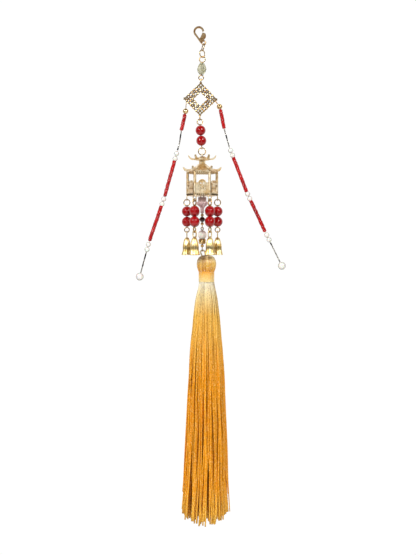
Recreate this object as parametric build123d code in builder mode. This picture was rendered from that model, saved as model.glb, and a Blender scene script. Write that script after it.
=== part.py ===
"""A hanging charm: clasp, crystal link, fretwork connector, two bead strands, palace lantern, dangles and tassel.

Millimetres, +Z up, +X to the right seen from the front, the front facing -Y. The origin is the middle of the
clasp's hook opening. Every link hangs in a frame of its own: the frame's origin is the wire of the link above it,
at the place where the two touch, its z runs up the link and its x lies across the link's wire loop.
"""

import os
from math import cos, pi, radians, sin

from build123d import *

# ---- wire and running fits ----
WIRE = 0.3  # radius of the wire of pins and jump rings
THIN_WIRE = 0.25  # radius of the wire in the small centre links
LINK_GAP = 0.06  # between the wires of two linked loops
RING_SPLIT = 5  # degrees that a jump ring's cut stands open
HOLE_GAP = 0.12  # between a pin and the bead on it
BEAD_GAP = 0.08  # between two pieces strung side by side

# ---- clasp ----
CLASP_TILT = 23.9  # degrees that the clasp leans from upright
CLASP_THICK = 2.0
CLASP_EYE_DROP = 6.67  # hook centre to eye centre
EYE_RADIUS = 1.1
EYE_WIRE = 0.4
HOOK_OUTER = 3.15
HOOK_INNER = 2.05
LEVER_THICK = 1.0
LEVER_SIDE_GAP = 0.08
PIVOT = (-0.55, -4.1)  # in the clasp's own plane
PIVOT_RADIUS = 0.32
PIVOT_GAP = 0.05
SPRING_RADIUS = 0.2
SPRING_WALL = 0.1

# ---- links above the connector: mean loop radius, lean and turn in degrees ----
UPPER_RING = 2.3
UPPER_RING_LEAN = -14.7
UPPER_RING_TURN = 105
LOWER_RING = 2.25
LOWER_RING_LEAN = 3
LOWER_RING_TURN = 50
CRYSTAL_LOOP = 1.75
CRYSTAL_LOWER_LOOP = 1.45
CRYSTAL_RADIUS = 2.9
CRYSTAL_HEIGHT = 6.8
CRYSTAL_LEAN = -3.8
CRYSTAL_TURN = -15

# ---- fretwork connector ----
FRET_HALF = 6.9  # centre to outer edge, square on
FRET_BAR = 0.72
FRET_THICK = 2.0
FRET_PITCH = 1.6  # between neighbouring bars
FRET_LOOP_WIRE = 0.35
FRET_LOOP = 0.85  # mean radius of the loops cast on its corners
FRET_TOP_LOOP = 2.5  # mean heights
FRET_LOW_LOOP = 3.1
FRET_LEAN = -1.6

# ---- neck link and lantern ring ----
RED_BEAD = 3.0
NECK_LOOP = 1.6
NECK_LOW_LOOP = 0.75
NECK_LEAN = 4.2
LANTERN_RING = 2.1
LANTERN_RING_LEAN = 3

# ---- lantern ----
LANTERN_LOOP = 0.9
UPPER_ROOF_TIP = 8.3  # radius of the horns
UPPER_ROOF_Z = -0.8  # heights are below the lantern's hanging point
UPPER_EAVE_Z = -2.9
UPPER_EAVE = 5.0
NECK_RADIUS = 1.9
LOWER_ROOF_Z = -5.3
LOWER_ROOF_TIP = 11.4
LOWER_EAVE_Z = -9.3
LOWER_EAVE = 9.4
HORN_THICK = 1.0
CAGE_RADIUS = 8.6  # centre to column
COLUMN = 0.8
CAGE_TOP_Z = -9.3
BEAM = 1.1
FLOOR_Z = -23.0  # top of the floor plate
FLOOR_THICK = 1.1
FLOOR_RADIUS = 9.4
PANEL_THICK = 0.9
PANEL_HEIGHT = 7.0
ARCH_RADIUS = 2.4
RELIEF = 0.35
CORNER_LOOP = 1.0
CORNER_LOOP_DROP = 26.8  # hanging point to the wire that a dangle hangs on
CORNER_LOOP_RADIUS = 9.0
FLOOR_LOOP_DROP = 26.0
FACES = 6

# ---- dangles ----
DANGLE_LOOP = 1.8
DANGLE_LOW_LOOP = 1.4
BELL_LOOP = 1.1
BELL_LOOP_HEIGHT = 3.7
BELL_HEIGHT = 10.3
BELL_RADIUS = 3.1
BELL_WALL = 0.4
BELL_PETALS = 8

# ---- centre drop and pearl link ----
DROP_LOOP = 0.8
FLOWER_RADIUS = 3.45
COLLAR_RADIUS = 2.45
COLLAR_WALL = 0.45
COLLAR_TOP = 1.2
SPACER = 0.95
GARNET_RADIUS = 1.85
GARNET_HEIGHT = 3.0
DROP_LOW_LOOP = 0.7
PEARL_LOOP = 0.75
PETAL_PEARL = 2.65
PEARL_CAP_HEIGHT = 2.6
PEARL_CAP_RADIUS = 2.2
TASSEL_EYE = 1.0

# ---- tassel ----
CORD = 0.4
CORD_LOOP = 1.2
CORD_LOOP_HEIGHT = 6.6
CORD_LEAN = 24
TASSEL_X = 4.3
HEAD_TOP = -131.0
HEAD_RADIUS = 5.6
HEAD_LENGTH = 9.2
NECK_WRAP = 4.7
NECK_WRAP_WALL = 0.5
NECK_WRAP_LENGTH = 6.4
SKIRT_GAP = 0.3
SKIRT_NECK = 4.6
SKIRT_LENGTH = 142.0
SKIRT_WIDE = 14.2

# ---- side strands ----
SEED_RADIUS = 1.0
SEED_LENGTH = 1.42
THREAD = 0.2
TUBE_RADIUS = 0.42
SMALL_PEARL = 1.5
END_PEARL = 2.3
CRIMP_BALL = 1.65
STRAND_RING_DEPTH = 1.5  # mean half width, so that the ring passes round the connector's edge
STRAND_WIRE = 0.2
STRAND_RING_RISE = 0.2  # of its top wire above the middle of the lattice cell


# ---------------------------------------------------------------- frames and shared shapes


def hang(contact, lean=0.0, turn=0.0):
    """The frame of a link on a contact point: leant in the X-Z plane, then turned about its own length."""
    up = Vector(-sin(radians(lean)), 0, cos(radians(lean)))
    across = Vector(0, 1, 0).cross(up).rotate(Axis((0, 0, 0), up), turn)
    return Plane(origin=contact, x_dir=across, z_dir=up)


def below(frame, drop, side=0.0):
    """The point that lies this far down a frame, and to its side."""
    return frame.from_local_coords(Vector(side, 0, -drop))


def turned_to(frame, turn):
    """The same frame, turned about its own length."""
    return Plane(
        origin=frame.origin,
        x_dir=frame.x_dir.rotate(Axis((0, 0, 0), frame.z_dir), turn),
        z_dir=frame.z_dir,
    )


def upright(frame):
    """The plane to draw on when a profile stands up a frame."""
    return Plane(frame.origin, x_dir=frame.x_dir, z_dir=frame.y_dir * -1)


def loop_top(wire, upper_wire):
    """How far a loop's top wire lies above the wire that it hangs on."""
    return wire + upper_wire + LINK_GAP


def ring(frame, radius, wire, upper_wire, split=0.0):
    """A jump ring hanging on the frame's contact."""
    with BuildPart(frame) as link:
        with Locations((0, 0, loop_top(wire, upper_wire) - radius)):
            Torus(radius, wire, major_angle=360 - split, rotation=(90, 0, 0), align=None)
    return link.part


def oval(frame, radius, height, wire, top):
    """A long wire loop: its mean half width, mean height and the height of its top wire above the frame."""
    straight = height - 2 * radius
    with BuildPart(frame) as loop:
        with Locations((0, 0, top - radius)):
            Torus(radius, wire, major_angle=180, rotation=(90, 0, 0), align=None)
        with Locations((0, 0, top - radius - straight)):
            Torus(radius, wire, major_angle=180, rotation=(-90, 0, 0), align=None)
        with Locations((radius, 0, top - radius - straight / 2), (-radius, 0, top - radius - straight / 2)):
            Cylinder(wire, straight)
    return loop.part


def looped_pin(frame, upper, lower, wire, upper_wire, stem_end, lower_turn=0.0):
    """An eye pin: a loop on the contact, a stem down to stem_end, and a lower loop under it."""
    upper_z = loop_top(wire, upper_wire) - upper
    stem_top = upper_z - upper
    stem_end = -stem_end
    lower_z = stem_end - lower
    with BuildPart(frame) as pin:
        with Locations((0, 0, upper_z)):
            Torus(upper, wire, rotation=(90, 0, 0))
        with Locations((0, 0, (stem_top + stem_end) / 2)):
            Cylinder(wire, stem_top - stem_end)
        with Locations(Location((0, 0, lower_z), (0, 0, lower_turn))):
            Torus(lower, wire, rotation=(90, 0, 0))
    return pin.part


def turned(frame, points, smooth=False):
    """A solid of revolution about the frame's z, from (radius, height) points."""
    with BuildPart() as body:
        with BuildSketch(upright(frame)):
            with BuildLine():
                if smooth:
                    Spline(points)
                else:
                    Polyline(points)
                Line(points[-1], points[0])
            make_face()
        revolve(axis=Axis(frame.origin, frame.z_dir))
    return body.part


def drilled_ball(frame, drops, radius, hole):
    """Round beads on a straight pin, one for each drop."""
    with BuildPart(frame) as beads:
        with Locations(*[(0, 0, -drop) for drop in drops]):
            Sphere(radius)
            Cylinder(hole, 2 * radius + 1, mode=Mode.SUBTRACT)
    return beads.part


def faceted(frame, levels, sides, hole):
    """A cut bead from (height, radius) levels, with flat facets between them and a drilled hole."""
    height = levels[0][0] - levels[-1][0]
    middle = (levels[0][0] + levels[-1][0]) / 2
    with BuildPart(frame) as bead:
        for (top, top_radius), (base, base_radius) in zip(levels, levels[1:]):
            with BuildSketch(frame.offset(top)):
                RegularPolygon(top_radius, sides)
            with BuildSketch(frame.offset(base)):
                RegularPolygon(base_radius, sides)
            loft(ruled=True)
        with Locations((0, 0, middle)):
            Cylinder(hole, height + 1, mode=Mode.SUBTRACT)
    return bead.part


# ---------------------------------------------------------------- clasp

tilt = radians(CLASP_TILT)
clasp_face = Plane(origin=(0, 0, 0), x_dir=(cos(tilt), 0, sin(tilt)), z_dir=(0, -1, 0))
eye_centre = clasp_face.from_local_coords(Vector(0, -CLASP_EYE_DROP, 0))
slot_thick = LEVER_THICK + 2 * LEVER_SIDE_GAP

with BuildPart() as clasp_body:
    with BuildSketch(clasp_face) as outline:
        with Locations((0, 0.45)):
            Circle(HOOK_OUTER)
        with BuildLine():
            Polyline(
                (-3.1, 0.2),
                (-1.75, -6.2),
                (-0.5, 0.7 - CLASP_EYE_DROP),
                (1.1, -5.2),
                (1.35, -4.3),
                (2.6, -1.0),
                (-3.1, 0.2),
            )
        make_face()
        with Locations((0, 0.45)):
            Circle(HOOK_INNER, mode=Mode.SUBTRACT)
        with BuildLine():
            Polyline((-2.05, 0.2), (-1.35, -3.2), (-0.9, -3.5), (1.9, -0.9), (1.9, -0.3), (-2.05, 0.2))
        make_face(mode=Mode.SUBTRACT)
    extrude(amount=CLASP_THICK / 2, both=True)
    # the window on the side where the lever closes the hook
    with BuildSketch(clasp_face):
        with BuildLine():
            Polyline((-0.9, -3.4), (1.9, -0.62), (3.9, -0.3), (3.9, -4.9), (1.25, -4.9), (-0.9, -3.4))
        make_face()
    extrude(amount=CLASP_THICK, both=True, mode=Mode.SUBTRACT)
    # the slot that the lever's root turns in
    with BuildSketch(clasp_face):
        with BuildLine():
            Polyline((-1.95, -3.2), (-1.95, -4.7), (-1.3, -5.35), (2.5, -5.35), (2.5, -3.2), (-1.95, -3.2))
        make_face()
    extrude(amount=slot_thick / 2, both=True, mode=Mode.SUBTRACT)
    with BuildSketch(clasp_face):
        with Locations(PIVOT):
            Circle(PIVOT_RADIUS)
    extrude(amount=CLASP_THICK, both=True, mode=Mode.SUBTRACT)
    with Locations(Location(eye_centre)):
        Torus(EYE_RADIUS, EYE_WIRE, rotation=(90, 0, 0))
        Cylinder(EYE_RADIUS - EYE_WIRE, CLASP_THICK + 1, rotation=(90, 0, 0), mode=Mode.SUBTRACT)

with BuildPart() as clasp_lever:
    with BuildSketch(clasp_face):
        with BuildLine():
            Polyline((-1.05, -3.45), (1.7, -0.95), (2.4, -1.3), (3.1, -2.0))
            ThreePointArc((3.1, -2.0), (2.95, -3.3), (1.75, -4.75))
            Polyline((1.75, -4.75), (0.1, -4.9), (-0.75, -4.95), (-1.4, -4.6), (-1.05, -3.45))
        make_face()
        with Locations(PIVOT):
            Circle(PIVOT_RADIUS + PIVOT_GAP, mode=Mode.SUBTRACT)
    extrude(amount=LEVER_THICK / 2, both=True)

with BuildPart() as clasp_pin:
    with BuildSketch(clasp_face):
        with Locations(PIVOT):
            Circle(PIVOT_RADIUS)
    extrude(amount=CLASP_THICK / 2, both=True)

# the return spring is a small coil between the lever's heel and the floor of the slot
spring_seat = (-1.0, -5.09)
with BuildPart() as clasp_spring:
    with BuildSketch(clasp_face):
        with Locations(spring_seat):
            Circle(SPRING_RADIUS)
            Circle(SPRING_RADIUS - SPRING_WALL, mode=Mode.SUBTRACT)
    extrude(amount=LEVER_THICK / 2, both=True)

# ---------------------------------------------------------------- links between clasp and connector

eye_wire = Vector(eye_centre.X, 0, eye_centre.Z - EYE_RADIUS)
upper_ring_frame = hang(eye_wire, UPPER_RING_LEAN, UPPER_RING_TURN)
clasp_ring = ring(upper_ring_frame, UPPER_RING, WIRE, EYE_WIRE, RING_SPLIT)

upper_ring_wire = below(upper_ring_frame, 2 * UPPER_RING - loop_top(WIRE, EYE_WIRE))
lower_ring_frame = hang(upper_ring_wire, LOWER_RING_LEAN, LOWER_RING_TURN)
chain_ring = ring(lower_ring_frame, LOWER_RING, WIRE, WIRE, RING_SPLIT)

lower_ring_wire = below(lower_ring_frame, 2 * LOWER_RING - loop_top(WIRE, WIRE))
crystal_frame = hang(lower_ring_wire, CRYSTAL_LEAN, CRYSTAL_TURN)
crystal_top = 2 * CRYSTAL_LOOP - loop_top(WIRE, WIRE) + WIRE + BEAD_GAP
crystal_end = crystal_top + CRYSTAL_HEIGHT
crystal_pin = looped_pin(
    crystal_frame, CRYSTAL_LOOP, CRYSTAL_LOWER_LOOP, WIRE, WIRE, crystal_end + BEAD_GAP + WIRE
)
crystal_levels = [
    (-crystal_top, 0.45 * CRYSTAL_RADIUS),
    (-crystal_top - 0.28 * CRYSTAL_HEIGHT, 0.82 * CRYSTAL_RADIUS),
    (-crystal_top - 0.55 * CRYSTAL_HEIGHT, CRYSTAL_RADIUS),
    (-crystal_top - 0.8 * CRYSTAL_HEIGHT, 0.8 * CRYSTAL_RADIUS),
    (-crystal_end, 0.45 * CRYSTAL_RADIUS),
]
crystal_bead = faceted(crystal_frame, crystal_levels, 8, WIRE + HOLE_GAP)

crystal_wire = below(crystal_frame, crystal_end + BEAD_GAP + WIRE + 2 * CRYSTAL_LOWER_LOOP)

# ---------------------------------------------------------------- fretwork connector

fret_frame = hang(crystal_wire, FRET_LEAN, 0)
fret_loop_frame = turned_to(fret_frame, 90)
top_loop_rise = loop_top(FRET_LOOP_WIRE, WIRE)
corner_reach = FRET_HALF * 2**0.5
fret_drop = FRET_TOP_LOOP - top_loop_rise + corner_reach - FRET_BAR / 2
fret_centre = below(fret_frame, fret_drop)
fret_wire = below(fret_frame, fret_drop + corner_reach - FRET_BAR / 2 + FRET_LOW_LOOP)
fret_plane = Plane(
    origin=fret_centre,
    x_dir=(fret_frame.x_dir + fret_frame.z_dir).normalized(),
    z_dir=upright(fret_frame).z_dir,
)
outer_line = FRET_HALF - FRET_BAR / 2
middle_line = outer_line - FRET_PITCH
inner_line = middle_line - FRET_PITCH
cell = (middle_line + outer_line) / 2  # a lattice cell by each corner, where a strand's ring passes

with BuildPart() as fretwork_connector:
    with BuildSketch(fret_plane) as fret_bars:
        for quarter in range(4):
            with Locations(Rotation(0, 0, 90 * quarter)):
                with Locations((0, inner_line)):
                    Rectangle(2 * middle_line + FRET_BAR, FRET_BAR)
                with Locations((middle_line, middle_line), (-middle_line, middle_line)):
                    Rectangle(2 * FRET_PITCH + FRET_BAR, FRET_BAR)
                with Locations((cell, outer_line), (-cell, outer_line)):
                    Rectangle(FRET_PITCH + 2.2 * FRET_BAR, FRET_BAR)
                with Locations((0, outer_line)):
                    Rectangle(inner_line + FRET_PITCH / 2, FRET_BAR)
                with Locations((inner_line / 3, middle_line), (-inner_line / 3, middle_line)):
                    Rectangle(FRET_BAR, 2 * FRET_PITCH + FRET_BAR)
    extrude(amount=FRET_THICK / 2, both=True)
    add(oval(fret_loop_frame, FRET_LOOP, FRET_TOP_LOOP, FRET_LOOP_WIRE, top_loop_rise))
    add(
        oval(
            fret_loop_frame,
            FRET_LOOP,
            FRET_LOW_LOOP,
            FRET_LOOP_WIRE,
            -(fret_drop + corner_reach - FRET_BAR / 2),
        )
    )

# ---------------------------------------------------------------- neck link and lantern ring

neck_frame = hang(fret_wire, NECK_LEAN, 0)
neck_stem = 2 * NECK_LOOP - loop_top(WIRE, FRET_LOOP_WIRE) + WIRE
neck_drops = [neck_stem + RED_BEAD + BEAD_GAP, neck_stem + 3 * RED_BEAD + 2 * BEAD_GAP]
neck_end = neck_drops[1] + RED_BEAD + BEAD_GAP + WIRE
neck_pin = looped_pin(neck_frame, NECK_LOOP, NECK_LOW_LOOP, WIRE, FRET_LOOP_WIRE, neck_end, 90)
neck_beads = drilled_ball(neck_frame, neck_drops, RED_BEAD, WIRE + HOLE_GAP)

neck_wire = below(neck_frame, neck_end + 2 * NECK_LOW_LOOP)
ring_frame = hang(neck_wire, LANTERN_RING_LEAN, 0)
lantern_ring = ring(ring_frame, LANTERN_RING, WIRE, WIRE)
ring_wire = below(ring_frame, 2 * LANTERN_RING - loop_top(WIRE, WIRE))

# ---------------------------------------------------------------- lantern

lantern_frame = hang(ring_wire, 0, 0)
corner_angles = [360 / FACES * n for n in range(FACES)]


def around(angle, radius, drop):
    """The point at this angle and radius about the lantern's axis, this far below its hanging point."""
    a = radians(angle)
    return lantern_frame.origin + Vector(radius * cos(a), radius * sin(a), -drop)


def radial_plane(angle):
    """The upright plane through the lantern's axis and the corner at this angle."""
    a = radians(angle)
    return Plane(lantern_frame.origin, x_dir=(cos(a), sin(a), 0), z_dir=(sin(a), -cos(a), 0))


def face_plane(angle, apothem):
    """The upright plane of a lantern face, looking out along this angle."""
    a = radians(angle)
    return Plane(
        lantern_frame.origin + Vector(apothem * cos(a), apothem * sin(a), 0),
        x_dir=(-sin(a), cos(a), 0),
        z_dir=(cos(a), sin(a), 0),
    )


def hexagon(height, radius):
    """A level hexagon with its corners at the lantern's columns."""
    with BuildSketch(lantern_frame.offset(height)) as level:
        RegularPolygon(radius, FACES)
    return level


def horned_roof(levels, ridge_top, ridge_under):
    """A hexagonal roof from (height, radius) levels, with a horned ridge up each corner."""
    root = (ridge_top[0][0], ridge_under[-1][1])
    with BuildPart() as roof:
        for (top, top_radius), (base, base_radius) in zip(levels, levels[1:]):
            add(hexagon(top, top_radius).sketch)
            add(hexagon(base, base_radius).sketch)
            loft(ruled=True)
        for angle in corner_angles:
            with BuildSketch(radial_plane(angle)):
                with BuildLine():
                    Spline(ridge_top)
                    Line(ridge_top[-1], ridge_under[0])
                    Spline(ridge_under)
                    Polyline(ridge_under[-1], root, ridge_top[0])
                make_face()
            extrude(amount=HORN_THICK / 2, both=True)
    return roof.part


upper_roof = horned_roof(
    [
        (UPPER_ROOF_Z, 1.5),
        (UPPER_ROOF_Z - 0.7, 2.3),
        (UPPER_EAVE_Z + 0.5, UPPER_EAVE),
        (UPPER_EAVE_Z, UPPER_EAVE),
        (UPPER_EAVE_Z - 0.5, NECK_RADIUS),
    ],
    [
        (1.2, UPPER_ROOF_Z - 0.1),
        (3.4, UPPER_ROOF_Z - 1.1),
        (5.6, UPPER_ROOF_Z - 1.2),
        (UPPER_ROOF_TIP - 0.5, UPPER_ROOF_Z + 0.7),
    ],
    [
        (UPPER_ROOF_TIP, UPPER_ROOF_Z + 0.4),
        (6.6, UPPER_EAVE_Z + 0.15),
        (4.4, UPPER_EAVE_Z + 0.1),
    ],
)

lower_roof = horned_roof(
    [
        (LOWER_ROOF_Z, 2.3),
        (LOWER_ROOF_Z - 1.2, 3.7),
        (LOWER_EAVE_Z + 1.2, 6.6),
        (LOWER_EAVE_Z, LOWER_EAVE),
        (LOWER_EAVE_Z - 0.7, LOWER_EAVE - 0.2),
    ],
    [
        (1.8, LOWER_ROOF_Z - 0.5),
        (5.2, LOWER_ROOF_Z - 2.3),
        (8.6, LOWER_EAVE_Z + 1.0),
        (LOWER_ROOF_TIP - 0.5, LOWER_EAVE_Z + 2.4),
    ],
    [
        (LOWER_ROOF_TIP, LOWER_EAVE_Z + 2.1),
        (10.1, LOWER_EAVE_Z - 0.2),
        (8.4, LOWER_EAVE_Z - 0.45),
    ],
)

cage_height = CAGE_TOP_Z - BEAM - FLOOR_Z
cage_apothem = CAGE_RADIUS * cos(pi / FACES)
face_width = CAGE_RADIUS - 2 * COLUMN + 0.3
panel_base = FLOOR_Z - FLOOR_THICK / 2

with BuildPart() as palace_lantern:
    with BuildSketch(lantern_frame.offset(FLOOR_Z)):
        RegularPolygon(FLOOR_RADIUS, FACES)
    extrude(amount=-FLOOR_THICK)
    with Locations(*[Location(around(angle, CAGE_RADIUS, 0)) for angle in corner_angles]):
        with Locations((0, 0, CAGE_TOP_Z - BEAM - cage_height / 2)):
            Cylinder(COLUMN, cage_height + 0.6)
    # low panels between the columns: arched and framed ones take turns
    for n, angle in enumerate(corner_angles):
        outward = angle + 180 / FACES
        face = face_plane(outward, cage_apothem - PANEL_THICK / 2)
        arched = n % 2 == 0
        with BuildSketch(face):
            with Locations((0, panel_base + PANEL_HEIGHT / 2)):
                Rectangle(face_width, PANEL_HEIGHT)
            if arched:
                with Locations((0, panel_base + PANEL_HEIGHT - 0.5)):
                    Circle(ARCH_RADIUS)
                with Locations((-0.85, panel_base + 6.6), (0.85, panel_base + 6.6)):
                    Circle(0.36, mode=Mode.SUBTRACT)
        extrude(amount=PANEL_THICK)
        relief = face.offset(PANEL_THICK)
        with BuildSketch(relief):
            if arched:
                with Locations((0, panel_base + PANEL_HEIGHT - 0.5)):
                    Circle(ARCH_RADIUS)
                    Circle(ARCH_RADIUS - 0.55, mode=Mode.SUBTRACT)
                    Circle(0.3)
                with Locations(*[(x, panel_base + z) for x, z in [(-1.9, 3.6), (1.9, 3.6), (0, 4.5)]]):
                    with PolarLocations(0.62, 5):
                        Circle(0.42)
            else:
                with Locations((0, panel_base + PANEL_HEIGHT - 1.9)):
                    Rectangle(face_width - 0.5, 3.0)
                    Rectangle(face_width - 1.9, 1.5, mode=Mode.SUBTRACT)
                with Locations((0, panel_base + 2.2)):
                    RectangleRounded(face_width - 0.6, 2.3, 0.5)
        extrude(amount=RELIEF)
    # a loop under each corner for its dangle, and one under the floor for the centre drop
    for angle in corner_angles:
        tangent = hang(around(angle, CORNER_LOOP_RADIUS, CORNER_LOOP_DROP), 0, angle + 90)
        floor_rise = CORNER_LOOP_DROP + FLOOR_Z - FLOOR_THICK / 2
        add(oval(tangent, CORNER_LOOP, floor_rise, WIRE, floor_rise))
    centre_rise = FLOOR_LOOP_DROP + FLOOR_Z - FLOOR_THICK / 2
    add(oval(hang(around(0, 0, FLOOR_LOOP_DROP)), LANTERN_LOOP, centre_rise, WIRE, centre_rise))
    # beam over the columns, then the two roofs with the neck between them
    with BuildSketch(lantern_frame.offset(CAGE_TOP_Z)):
        RegularPolygon(CAGE_RADIUS + 0.5, FACES)
        RegularPolygon(CAGE_RADIUS - 0.9, FACES, mode=Mode.SUBTRACT)
    extrude(amount=-BEAM - 0.5)
    add(lower_roof)
    with BuildSketch(lantern_frame.offset(UPPER_EAVE_Z)):
        RegularPolygon(NECK_RADIUS, FACES)
    extrude(amount=LOWER_ROOF_Z - UPPER_EAVE_Z - 0.5)
    add(upper_roof)
    add(oval(turned_to(lantern_frame, 90), LANTERN_LOOP, 2.1, WIRE, loop_top(WIRE, WIRE)))

# ---------------------------------------------------------------- dangles

dangle_stem = 2 * DANGLE_LOOP - loop_top(WIRE, WIRE) + WIRE
dangle_drops = [dangle_stem + RED_BEAD + BEAD_GAP, dangle_stem + 3 * RED_BEAD + 2 * BEAD_GAP]
dangle_end = dangle_drops[1] + RED_BEAD + BEAD_GAP + WIRE
bell_top = loop_top(WIRE, WIRE) - BELL_LOOP_HEIGHT
bell_outline = [
    (0, bell_top + 0.2),
    (0.9, bell_top),
    (1.9, bell_top - 1.6),
    (2.35, bell_top - 4.2),
    (2.3, bell_top - 0.68 * BELL_HEIGHT),
    (BELL_RADIUS - 0.3, bell_top - 0.88 * BELL_HEIGHT),
    (BELL_RADIUS, bell_top - BELL_HEIGHT),
]
bell_lining = [(max(r - BELL_WALL, 0), z - BELL_WALL * (1 if r < 2 else 0)) for r, z in bell_outline]

dangles = {}
for number, angle in enumerate(corner_angles, 1):
    frame = hang(around(angle, CORNER_LOOP_RADIUS, CORNER_LOOP_DROP), 0, angle)
    dangles[f"dangle_{number}_pin"] = looped_pin(frame, DANGLE_LOOP, DANGLE_LOW_LOOP, WIRE, WIRE, dangle_end)
    dangles[f"dangle_{number}_beads"] = drilled_ball(frame, dangle_drops, RED_BEAD, WIRE + HOLE_GAP)
    bell_frame = hang(below(frame, dangle_end + 2 * DANGLE_LOW_LOOP), 0, angle + 90)
    with BuildPart() as bell:
        with BuildSketch(upright(bell_frame)):
            with BuildLine():
                Spline(bell_outline)
                Line(bell_outline[-1], bell_lining[-1])
                Spline(bell_lining[::-1])
                Line(bell_lining[0], bell_outline[0])
            make_face()
        revolve(axis=Axis(bell_frame.origin, bell_frame.z_dir))
        add(oval(bell_frame, BELL_LOOP, BELL_LOOP_HEIGHT, WIRE, loop_top(WIRE, WIRE)))
        # scallops between the petals of the rim
        for petal in range(BELL_PETALS // 2):
            rim = turned_to(bell_frame, 360 / BELL_PETALS * petal)
            with BuildSketch(upright(rim)):
                with Locations((0, bell_top - BELL_HEIGHT)):
                    Circle(0.55)
            extrude(amount=2 * BELL_RADIUS, both=True, mode=Mode.SUBTRACT)
    dangles[f"dangle_{number}_bell"] = bell.part

# ---------------------------------------------------------------- centre drop and pearl link

drop_frame = hang(around(0, 0, FLOOR_LOOP_DROP), 0, 90)
flower_tip = 8.3
garnet_top = flower_tip + 2 * SPACER + 2 * BEAD_GAP
garnet_end = garnet_top + GARNET_HEIGHT
drop_end = garnet_end + 2 * SPACER + 2 * BEAD_GAP + THIN_WIRE
spacer_drops = [flower_tip + SPACER + BEAD_GAP, garnet_end + SPACER + BEAD_GAP]
drop_pin = looped_pin(drop_frame, DROP_LOOP, DROP_LOW_LOOP, THIN_WIRE, WIRE, drop_end)
spacer_balls = drilled_ball(drop_frame, spacer_drops, SPACER, THIN_WIRE + HOLE_GAP)
garnet_bead = faceted(
    drop_frame,
    [
        (-garnet_top, 0.4 * GARNET_RADIUS),
        ((-garnet_top - garnet_end) / 2 + 0.2, GARNET_RADIUS),
        ((-garnet_top - garnet_end) / 2 - 0.2, GARNET_RADIUS),
        (-garnet_end, 0.4 * GARNET_RADIUS),
    ],
    8,
    THIN_WIRE + HOLE_GAP,
)
drop_hole = THIN_WIRE + HOLE_GAP
flower_bead = turned(
    drop_frame,
    [
        (COLLAR_RADIUS - COLLAR_WALL, COLLAR_TOP),
        (COLLAR_RADIUS, COLLAR_TOP),
        (COLLAR_RADIUS, -1.4),
        (FLOWER_RADIUS - 0.3, -1.7),
        (FLOWER_RADIUS, -2.2),
        (FLOWER_RADIUS - 0.4, -3.1),
        (1.7, -4.2),
        (1.1, -5.0),
        (1.0, -flower_tip),
        (drop_hole, -flower_tip),
        (drop_hole, -2.2),
        (COLLAR_RADIUS - COLLAR_WALL, -1.9),
    ],
)

drop_wire = below(drop_frame, drop_end + 2 * DROP_LOW_LOOP)
pearl_frame = hang(drop_wire, 0, 0)
pearl_top = 2 * PEARL_LOOP - loop_top(THIN_WIRE, THIN_WIRE) + THIN_WIRE + BEAD_GAP
pearl_end = pearl_top + 2 * PETAL_PEARL
cap_top = pearl_end + BEAD_GAP
cap_end = cap_top + PEARL_CAP_HEIGHT
ball_end = cap_end + BEAD_GAP + 2 * SPACER
pearl_pin = looped_pin(
    pearl_frame, PEARL_LOOP, TASSEL_EYE, THIN_WIRE, THIN_WIRE, ball_end + BEAD_GAP + THIN_WIRE, 90
)
petal_pearl = drilled_ball(pearl_frame, [pearl_top + PETAL_PEARL], PETAL_PEARL, THIN_WIRE + HOLE_GAP)
with BuildPart(pearl_frame) as cap_ball:
    with Locations((0, 0, -cap_end - BEAD_GAP - SPACER)):
        Sphere(SPACER)
        Cylinder(drop_hole, 2 * SPACER + 1, mode=Mode.SUBTRACT)
with BuildPart() as pearl_cap:
    add(
        turned(
            pearl_frame,
            [
                (drop_hole, -cap_top - 0.4),
                (1.5, -cap_top - 0.2),
                (PEARL_CAP_RADIUS - 0.3, -cap_top + 0.35),
                (PEARL_CAP_RADIUS, -cap_top - 0.2),
                (PEARL_CAP_RADIUS - 0.15, -cap_top - 1.3),
                (PEARL_CAP_RADIUS, -cap_top - 1.7),
                (1.6, -cap_end),
                (drop_hole, -cap_end),
            ],
        )
    )
    add(cap_ball.part)

# ---------------------------------------------------------------- tassel

eye_of_pearl = below(pearl_frame, ball_end + BEAD_GAP + THIN_WIRE + 2 * TASSEL_EYE)
cord_frame = hang(eye_of_pearl, CORD_LEAN, 0)
tassel_frame = Plane(origin=(TASSEL_X, 0, HEAD_TOP), x_dir=(1, 0, 0), z_dir=(0, 0, 1))
tassel_cord = oval(cord_frame, CORD_LOOP, CORD_LOOP_HEIGHT, CORD, loop_top(CORD, THIN_WIRE))

wrap_top = -HEAD_LENGTH
wrap_end = wrap_top - NECK_WRAP_LENGTH
wrap_bore = NECK_WRAP - NECK_WRAP_WALL
with BuildPart() as tassel_head:
    with BuildSketch(upright(tassel_frame)):
        with BuildLine():
            Spline(
                (0, 0),
                (HEAD_RADIUS - 1.6, -0.9),
                (HEAD_RADIUS - 0.1, -3.6),
                (HEAD_RADIUS - 0.2, -6.8),
                (wrap_bore, wrap_top),
                tangents=[(1, 0), (-1, -1.6)],
            )
            Polyline((wrap_bore, wrap_top), (wrap_bore, wrap_end), (0, wrap_end), (0, 0))
        make_face()
    revolve(axis=Axis(tassel_frame.origin, tassel_frame.z_dir))
    add(tassel_cord, mode=Mode.SUBTRACT)

neck_wrap = turned(
    tassel_frame,
    [
        (wrap_bore, wrap_top - 0.15),
        (NECK_WRAP - 0.15, wrap_top - 0.15),
        (NECK_WRAP, wrap_top - 0.6),
        (NECK_WRAP, wrap_end + 0.3),
        (NECK_WRAP - 0.2, wrap_end),
        (wrap_bore, wrap_end),
    ],
)

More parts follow.
